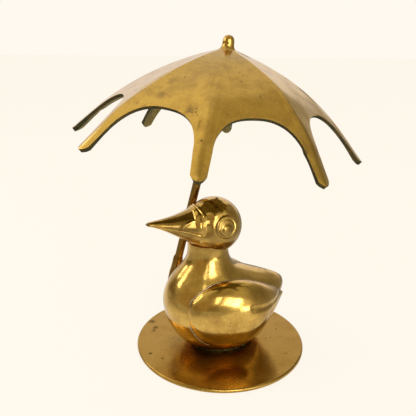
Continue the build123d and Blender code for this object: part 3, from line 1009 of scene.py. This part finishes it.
class Wiring:
    """Short calls that place and join the nodes of one tree."""

    def __init__(self, tree):
        self.tree = tree

    def node(self, kind, **settings):
        """A node of a kind with its settings."""
        made = self.tree.nodes.new(kind)
        for key, value in settings.items():
            setattr(made, key, value)
        return made

    def join(self, source, target):
        """Joins two sockets."""
        self.tree.links.new(source, target)

    def feed(self, target, value):
        """Sets a socket to a value, or joins it to another socket."""
        if isinstance(value, bpy.types.NodeSocket):
            self.join(value, target)
        else:
            target.default_value = value

    def math(self, operation, first, second=0.0):
        """A sum, product or the like of two values."""
        made = self.node("ShaderNodeMath", operation=operation)
        self.feed(made.inputs[0], first)
        self.feed(made.inputs[1], second)
        return made.outputs[0]

    def measure(self, operation, first, second):
        """A distance or a product of a vector socket and a fixed vector."""
        made = self.node("ShaderNodeVectorMath", operation=operation)
        self.join(first, made.inputs[0])
        made.inputs[1].default_value = second
        return made.outputs["Value"]

    def noise(self, coords, scale, detail=4.0, roughness=0.6):
        """Soft noise from 0 to 1."""
        made = self.node("ShaderNodeTexNoise")
        self.join(coords, made.inputs["Vector"])
        self.feed(made.inputs["Scale"], scale)
        self.feed(made.inputs["Detail"], detail)
        self.feed(made.inputs["Roughness"], roughness)
        return made.outputs["Fac"]

    def ramp(self, value, low, high, to_low=0.0, to_high=1.0):
        """A value moved from one span to another, eased and kept inside it."""
        made = self.node("ShaderNodeMapRange", interpolation_type="SMOOTHSTEP")
        self.feed(made.inputs["Value"], value)
        self.feed(made.inputs["From Min"], low)
        self.feed(made.inputs["From Max"], high)
        self.feed(made.inputs["To Min"], to_low)
        self.feed(made.inputs["To Max"], to_high)
        return made.outputs["Result"]

    def mix(self, share, first, second, blend="MIX"):
        """A mix of two colours."""
        made = self.node("ShaderNodeMix", data_type="RGBA", blend_type=blend)
        self.feed(made.inputs[0], share)
        self.feed(made.inputs[6], first)
        self.feed(made.inputs[7], second)
        return made.outputs[2]


def blank_wiring(owner):
    """The emptied node tree of a material or a world, ready to be wired."""
    owner.use_nodes = True
    owner.node_tree.nodes.clear()
    return Wiring(owner.node_tree)


def solid(values):
    """A colour with its alpha."""
    return (*values, 1.0)


def aged_metal_group():
    """Metal that has tarnished in blotches, with a fine grain and small pits."""
    name = "aged metal"
    if name in bpy.data.node_groups:
        return bpy.data.node_groups[name]
    tree = bpy.data.node_groups.new(name, "ShaderNodeTree")
    for label in ("Metal", "Tarnish"):
        tree.interface.new_socket(label, in_out="INPUT", socket_type="NodeSocketColor")
    for label in ("Amount", "Blotch Scale", "Grain Scale", "Pits", "Roughness", "Spread", "Swell"):
        tree.interface.new_socket(label, in_out="INPUT", socket_type="NodeSocketFloat")
    tree.interface.new_socket("Color", in_out="OUTPUT", socket_type="NodeSocketColor")
    tree.interface.new_socket("Roughness", in_out="OUTPUT", socket_type="NodeSocketFloat")
    tree.interface.new_socket("Height", in_out="OUTPUT", socket_type="NodeSocketFloat")
    wiring = Wiring(tree)
    given = wiring.node("NodeGroupInput").outputs
    out = wiring.node("NodeGroupOutput").inputs
    coords = wiring.node("ShaderNodeTexCoord").outputs["Object"]
    blotch = wiring.ramp(wiring.noise(coords, given["Blotch Scale"], 6.0, 0.62), 0.38, 0.68)
    speck = wiring.ramp(wiring.noise(coords, wiring.math("MULTIPLY", given["Blotch Scale"], 7.0)), 0.5, 0.72)
    mottle = wiring.math("MAXIMUM", blotch, wiring.math("MULTIPLY", speck, 0.8))
    film = wiring.math("MULTIPLY", mottle, given["Amount"])
    grain = wiring.noise(coords, given["Grain Scale"], 3.0, 0.7)
    cells = wiring.node("ShaderNodeTexVoronoi", feature="F1")
    wiring.join(coords, cells.inputs["Vector"])
    cells.inputs["Scale"].default_value = PIT_SCALE
    dots = wiring.ramp(cells.outputs["Distance"], 0.08, 0.26, 1.0, 0.0)
    rare = wiring.ramp(wiring.noise(coords, 0.3 * PIT_SCALE), 0.5, 0.62)
    pits = wiring.math("MULTIPLY", wiring.math("MULTIPLY", dots, rare), given["Pits"])
    toned = wiring.mix(film, given["Metal"], given["Tarnish"])
    shade = wiring.ramp(grain, 0.3, 0.7, 0.92, 1.0)
    grained = wiring.mix(1.0, toned, shade, "MULTIPLY")
    pitted = wiring.mix(wiring.math("MULTIPLY", pits, 0.7), grained, solid(PIT_COLOUR))
    wiring.join(pitted, out["Color"])
    dulled = wiring.math("ADD", given["Roughness"], wiring.math("MULTIPLY", film, given["Spread"]))
    wiring.join(wiring.math("ADD", dulled, wiring.math("MULTIPLY", pits, 0.4)), out["Roughness"])
    swell = wiring.math("MULTIPLY", wiring.noise(coords, 150.0, 2.0, 0.5), given["Swell"])
    fine = wiring.math("SUBTRACT", wiring.math("MULTIPLY", grain, 0.12), pits)
    wiring.join(wiring.math("ADD", fine, swell), out["Height"])
    return tree


def stain_and_shade(wiring, coords, place, size, depth):
    """How much of a ragged dark mark lies on each spot of the part; most marks are real spots, some are
    painted shade.
    """
    away = wiring.measure("DISTANCE", coords, place)
    ragged = wiring.math("MULTIPLY", wiring.noise(coords, 1.2 / size), 1.6 * size)
    return wiring.ramp(wiring.math("ADD", away, ragged), 1.1 * size, 2.0 * size, depth, 0.0)


def finish(name):
    """A finish of the table, built once on the aged metal group."""
    if name in bpy.data.materials:
        return bpy.data.materials[name]
    colours = bpy.context.scene.brass_colours
    metal, tarnish, amount, roughness, blotch, extras = FINISHES[name]
    more = {**PLAIN_EXTRAS, **extras}
    tarnish = getattr(colours, tarnish)
    material = bpy.data.materials.new(name)
    wiring = blank_wiring(material)
    group = wiring.node("ShaderNodeGroup", node_tree=aged_metal_group())
    for label, value in (
        ("Metal", solid(getattr(colours, metal))),
        ("Tarnish", solid(tarnish)),
        ("Amount", amount),
        ("Roughness", roughness),
        ("Blotch Scale", blotch),
        ("Grain Scale", more["grain"]),
        ("Pits", more["pits"]),
        ("Spread", more["spread"]),
        ("Swell", more["swell"]),
    ):
        group.inputs[label].default_value = value
    stained_and_shaded = group.outputs["Color"]
    dulled = group.outputs["Roughness"]
    coords = wiring.node("ShaderNodeTexCoord").outputs["Object"]
    deep = solid([0.3 * part for part in tarnish])
    # Darkens the part under each listed mark; on the duck and the plate some marks are painted shade.
    for place, size, depth in more["stains_and_shade"]:
        share = stain_and_shade(wiring, coords, place, size, depth)
        stained_and_shaded = wiring.mix(share, stained_and_shaded, deep)
        dulled = wiring.math("ADD", dulled, wiring.math("MULTIPLY", share, 0.2))
    shader = wiring.node("ShaderNodeBsdfPrincipled")
    shader.inputs["Metallic"].default_value = more["metallic"]
    shader.inputs["Coat Weight"].default_value = more["coat"]
    shader.inputs["Coat Roughness"].default_value = 0.12
    relief = wiring.node("ShaderNodeBump")
    relief.inputs["Strength"].default_value = more["bump"]
    relief.inputs["Distance"].default_value = 0.0002
    wiring.join(stained_and_shaded, shader.inputs["Base Color"])
    wiring.join(dulled, shader.inputs["Roughness"])
    wiring.join(group.outputs["Height"], relief.inputs["Height"])
    wiring.join(relief.outputs["Normal"], shader.inputs["Normal"])
    out = wiring.node("ShaderNodeOutputMaterial")
    wiring.join(shader.outputs["BSDF"], out.inputs["Surface"])
    return material


class BRASS_DUCK_OT_base(bpy.types.Operator):
    """Finish the base plate, its screws, and the foot with its solder lumps in near-black painted shade"""

    bl_idname = "brass_duck.base"
    bl_label = "Base Plate and Foot"

    def execute(self, context):
        sizes = context.scene.duck_sizes
        dress("base_plate", "plate brass")
        dress("base_screws", "plain steel")
        # The foot is near black: painted shade in the gap under the body.
        dress("foot", "shaded solder")
        centre = (FOOT_LOW + FOOT_HIGH) / 2
        half = (FOOT_HIGH - FOOT_LOW) / 2
        bm = bmesh.new()
        for turn, size in SOLDER_LUMPS:
            spot = Vector((half.x * cos(radians(turn)), half.y * sin(radians(turn)), 0.3 * half.z))
            shape = Matrix.Translation(centre + spot) @ Matrix.Diagonal((1.0, 1.3, 0.6, 1.0))
            bmesh.ops.create_icosphere(bm, subdivisions=3, radius=size, matrix=shape)
        roughen(bm, sizes.lump_unevenness, sizes.lump_ripple, 21)
        # The lumps share the foot's painted shade.
        make_piece(bm, "foot_solder", ["shaded solder"])
        return {"FINISHED"}


class BRASS_DUCK_OT_body(bpy.types.Operator):
    """Model the body casting: breast, tail and neck"""

    bl_idname = "brass_duck.body"
    bl_label = "Body"

    def execute(self, context):
        sizes = context.scene.duck_sizes
        rows = body_rows(sizes)
        bm = bmesh.new()

        def place(u, v):
            return body_point(sizes, rows, v, 2 * pi * u)

        wrapped_grid(bm, *BODY_FACES, place)
        merged(bm, WELD)
        roughen(bm, sizes.unevenness, sizes.ripple, 1)
        close_holes(bm)
        sharpen(bm, radians(50))
        make_piece(bm, "body_casting", ["duck brass"], ["duck_body"])
        dress("neck_stud", "plain steel")
        return {"FINISHED"}


class BRASS_DUCK_OT_wings(bpy.types.Operator):
    """Model both wings and the solder beads in their seams"""

    bl_idname = "brass_duck.wings"
    bl_label = "Wings"

    def execute(self, context):
        sizes = context.scene.duck_sizes
        rows = body_rows(sizes)
        for side, label in ((1, "left"), (-1, "right")):
            bm = bmesh.new()

            def place(u, v, side=side):
                return wing_point(sizes, side, v, 2 * pi * u)

            wrapped_grid(bm, *WING_FACES, place)
            merged(bm, WELD)
            crease_wing(bm, sizes, side)
            roughen(bm, sizes.unevenness, sizes.ripple, 7 * side)
            close_holes(bm)
            make_piece(bm, label + "_wing_casting", ["duck brass"], [label + "_wing"])
            seam = [seam_point(sizes, rows, side, along, 1) for along in SEAM_UPPER_SHARES]
            seam += [seam_point(sizes, rows, side, along, -1) for along in SEAM_LOWER_SHARES]
            bm = bmesh.new()
            bead(bm, [point for point in seam if point], sizes.solder_radius)
            make_piece(bm, label + "_wing_solder", ["grey solder"])
        return {"FINISHED"}


class BRASS_DUCK_OT_head(bpy.types.Operator):
    """Model the head casting: ball, beak, band and ringed eyes"""

    bl_idname = "brass_duck.head"
    bl_label = "Head"

    def execute(self, context):
        sizes = context.scene.duck_sizes
        radius = sizes.head_radius
        centre = Vector((0, -sizes.head_forward, sizes.head_height))
        ball_share = 0.58
        ball_turn = radians(120)
        beak_end = BEAK_SHARES[-1][0]

        def place(u, v):
            if v < ball_share:
                at = -cos(v / ball_share * ball_turn)
            else:
                start = -cos(ball_turn)
                at = start + (v - ball_share) / (1 - ball_share) * (beak_end - start)
            top, bottom, side, mouth = head_outline(at)
            turn = 2 * pi * u
            height = (top - mouth) if sin(turn) > 0 else (mouth - bottom)
            return centre + radius * Vector((side * cos(turn), -at, mouth + height * sin(turn)))

        bm = bmesh.new()
        wrapped_grid(bm, *HEAD_FACES, place)
        merged(bm, WELD)
        face_outward(bm)
        for vert in bm.verts:
            vert.co += vert.normal * head_relief(sizes, vert.co - centre)
        roughen(bm, 0.7 * sizes.unevenness, sizes.ripple, 3)
        close_holes(bm)
        make_piece(bm, "head_casting", ["duck brass"], ["duck_head"])
        return {"FINISHED"}


class BRASS_DUCK_OT_shaft(bpy.types.Operator):
    """Model the umbrella's rod and the swollen cup that holds it"""

    bl_idname = "brass_duck.shaft"
    bl_label = "Shaft and Holder"

    def execute(self, context):
        sizes = context.scene.umbrella_sizes

        def rod_radius(distance):
            return sizes.shaft_radius * (1 + 0.02 * noise.noise(Vector((0, 0, distance * 60))))

        def cup_radius(distance):
            return sizes.shaft_radius * max(smooth_value(CUP_SECTIONS, 1, distance), 0)

        bm = bmesh.new()
        turned_rod(bm, sizes, 0, shaft_length(sizes), rod_radius, ROD_FACES)
        close_holes(bm)
        sharpen(bm, radians(50))
        make_piece(bm, "umbrella_rod", ["shaft brass"], ["umbrella_shaft"])
        bm = bmesh.new()
        turned_rod(bm, sizes, CUP_SECTIONS[0][0], CUP_SECTIONS[-1][0], cup_radius, CUP_FACES)
        roughen(bm, sizes.cup_unevenness, sizes.cup_ripple, 11)
        make_piece(bm, "shoulder_cup", ["shaft brass"], ["shaft_holder"])
        return {"FINISHED"}


class BRASS_DUCK_OT_canopy(bpy.types.Operator):
    """Model the canopy: scalloped gores, creases, straps, a rubbed rim with a painted highlight, and painted
    shade on its edges and underside
    """

    bl_idname = "brass_duck.canopy"
    bl_label = "Canopy"

    def execute(self, context):
        sizes = context.scene.umbrella_sizes
        bm = bmesh.new()
        axes = canopy_sheet(bm, sizes)
        soften_ribs(bm, sizes, axes)
        roughen(bm, sizes.canopy_unevenness, sizes.canopy_ripple, 5)
        thicken_canopy(bm, sizes, axes)
        sharpen(bm, radians(40))
        finishes = ["canopy brass", "shaded underside", "shaded rough edge", "rim highlight and wear"]
        make_piece(bm, "canopy_casting", finishes, ["umbrella_canopy"])
        # The collar under the canopy gets the near-black painted shade of the edges.
        dress("canopy_collar", "shaded rough edge")
        return {"FINISHED"}


class BRASS_DUCK_OT_finial(bpy.types.Operator):
    """Turn the round-ended finial with its flared foot"""

    bl_idname = "brass_duck.finial"
    bl_label = "Finial"

    def execute(self, context):
        sizes = context.scene.umbrella_sizes
        crown, first, second, up = canopy_frame(sizes)
        around, along = FINIAL_FACES
        outline = []
        for step in range(along + 1):
            wide, high = smooth_row(FINIAL_SHARES, step / along)
            outline.append((max(wide, 0) * sizes.finial_radius, high * sizes.finial_rise))
        outline[0] = (0, outline[0][1])
        matrix = Matrix.Translation(crown) @ Matrix((first, second, up)).transposed().to_4x4()
        bm = bmesh.new()
        lathe(bm, outline, around, matrix)
        make_piece(bm, "finial_cap", ["canopy brass"], ["finial"])
        return {"FINISHED"}


def toward(bearing, rise):
    """The direction at a bearing round the Z axis and a height, in degrees."""
    level = cos(radians(rise))
    return Vector((level * cos(radians(bearing)), level * sin(radians(bearing)), sin(radians(rise))))


class BRASS_DUCK_OT_studio(bpy.types.Operator):
    """Set the pale floor, the soft lights and the photograph's camera"""

    bl_idname = "brass_duck.studio"
    bl_label = "Studio"

    def execute(self, context):
        backdrop = context.scene.brass_colours.backdrop
        self.floor(backdrop)
        self.world(backdrop)
        self.lamps()
        self.camera(context.scene)
        context.scene.view_settings.view_transform = "Standard"
        return {"FINISHED"}

    def floor(self, backdrop):
        """A wide floor that looks as the backdrop does and keeps a soft shadow."""
        bm = bmesh.new()
        bmesh.ops.create_grid(bm, x_segments=1, y_segments=1, size=30.0)
        mesh = bpy.data.meshes.new("floor")
        bm.to_mesh(mesh)
        bm.free()
        add_object("floor", mesh)
        material = bpy.data.materials.new("floor")
        wiring = blank_wiring(material)
        diffuse = wiring.node("ShaderNodeBsdfDiffuse")
        diffuse.inputs["Color"].default_value = solid([FLOOR_DIFFUSE * part for part in backdrop])
        glow = wiring.node("ShaderNodeEmission")
        glow.inputs["Color"].default_value = solid(backdrop)
        rays = wiring.node("ShaderNodeLightPath")
        mirrored = wiring.math("MAXIMUM", rays.outputs["Is Glossy Ray"], rays.outputs["Is Transmission Ray"])
        coords = wiring.node("ShaderNodeTexCoord").outputs["Object"]
        for bearing, start, end, before, past in FLOOR_FADES:
            away = wiring.measure("DOT_PRODUCT", coords, toward(bearing, 0.0))
            mirrored = wiring.math("MULTIPLY", mirrored, wiring.ramp(away, start, end, before, past))
        seen = wiring.math("MULTIPLY", rays.outputs["Is Camera Ray"], FLOOR_GLOW)
        wiring.join(wiring.math("MAXIMUM", seen, mirrored), glow.inputs["Strength"])
        both = wiring.node("ShaderNodeAddShader")
        wiring.join(diffuse.outputs[0], both.inputs[0])
        wiring.join(glow.outputs[0], both.inputs[1])
        out = wiring.node("ShaderNodeOutputMaterial")
        wiring.join(both.outputs[0], out.inputs["Surface"])
        mesh.materials.append(material)

    def world(self, backdrop):
        """A pale backdrop, and round it the soft zones that the metal reflects."""
        world = bpy.data.worlds.new("studio")
        bpy.context.scene.world = world
        wiring = blank_wiring(world)
        direction = wiring.node("ShaderNodeTexCoord").outputs["Generated"]
        parts = wiring.node("ShaderNodeSeparateXYZ")
        wiring.join(direction, parts.inputs[0])
        height = wiring.ramp(parts.outputs["Z"], 0.1, 0.9)
        room = wiring.mix(height, solid(ROOM_LOW), solid(ROOM_HIGH))
        for bearing, rise, start, end, shade in STUDIO_ZONES:
            nearness = wiring.measure("DOT_PRODUCT", direction, toward(bearing, rise))
            share = wiring.ramp(nearness, cos(radians(end)), cos(radians(start)))
            room = wiring.mix(share, room, solid(shade))
        rays = wiring.node("ShaderNodeLightPath")
        seen = wiring.mix(rays.outputs["Is Camera Ray"], room, solid(backdrop))
        glow = wiring.node("ShaderNodeBackground")
        wiring.join(seen, glow.inputs["Color"])
        out = wiring.node("ShaderNodeOutputWorld")
        wiring.join(glow.outputs[0], out.inputs["Surface"])

    def lamps(self):
        """The softboxes, at one distance from the duck."""
        for name, bearing, rise, width, height, roll, bright in SOFTBOXES:
            light = bpy.data.lights.new(name, "AREA")
            light.shape = "RECTANGLE"
            light.size = 2 * LAMP_DISTANCE * tan(radians(width / 2))
            light.size_y = 2 * LAMP_DISTANCE * tan(radians(height / 2))
            light.energy = bright * pi * light.size * light.size_y
            lamp = add_object(name, light)
            lamp.location = LAMP_TARGET + toward(bearing, rise) * LAMP_DISTANCE
            turn = Matrix.Rotation(radians(bearing + 90), 3, "Z")
            turn = turn @ Matrix.Rotation(radians(90 - rise), 3, "X")
            turn = turn @ Matrix.Rotation(radians(roll), 3, "Z")
            lamp.rotation_euler = turn.to_euler()

    def camera(self, scene):
        """The photograph's view."""
        place = Vector((0.24689, -0.10992, 0.17129))
        right = Vector((0.37308, 0.92769, 0.01456))
        up = Vector((-0.282, 0.09843, 0.95435))
        back = Vector((0.8839, -0.36015, 0.29833))
        data = bpy.data.cameras.new("camera")
        data.lens = 42.65
        data.sensor_width = 36.0
        data.clip_start = 0.01
        camera = add_object("camera", data)
        camera.matrix_world = Matrix.Translation(place) @ Matrix((right, up, back)).transposed().to_4x4()
        scene.camera = camera


OPERATORS = (
    BRASS_DUCK_OT_base,
    BRASS_DUCK_OT_body,
    BRASS_DUCK_OT_wings,
    BRASS_DUCK_OT_head,
    BRASS_DUCK_OT_shaft,
    BRASS_DUCK_OT_canopy,
    BRASS_DUCK_OT_finial,
    BRASS_DUCK_OT_studio,
)


class BRASS_DUCK_PT_panel(bpy.types.Panel):
    """Sizes, colours and the steps that make the pieces"""

    bl_idname = "BRASS_DUCK_PT_panel"
    bl_label = "Brass Duck"
    bl_space_type = "VIEW_3D"
    bl_region_type = "UI"
    bl_category = "Brass Duck"

    def draw(self, context):
        layout = self.layout
        scene = context.scene
        for settings in (scene.duck_sizes, scene.umbrella_sizes, scene.brass_colours):
            box = layout.box()
            for key in settings.__annotations__:
                box.prop(settings, key)
        for operator in OPERATORS:
            layout.operator(operator.bl_idname)


CLASSES = (DuckSizes, UmbrellaSizes, BrassColours, *OPERATORS, BRASS_DUCK_PT_panel)


def register():
    """Adds the classes and their settings."""
    for kind in CLASSES:
        bpy.utils.register_class(kind)
    bpy.types.Scene.duck_sizes = PointerProperty(type=DuckSizes)
    bpy.types.Scene.umbrella_sizes = PointerProperty(type=UmbrellaSizes)
    bpy.types.Scene.brass_colours = PointerProperty(type=BrassColours)


def unregister():
    """Takes them away again."""
    del bpy.types.Scene.brass_colours
    del bpy.types.Scene.umbrella_sizes
    del bpy.types.Scene.duck_sizes
    for kind in reversed(CLASSES):
        bpy.utils.unregister_class(kind)


def main():
    """Makes every piece in order."""
    register()
    for operator in OPERATORS:
        group, name = operator.bl_idname.split(".")
        getattr(getattr(bpy.ops, group), name)()


if __name__ == "__main__":
    main()
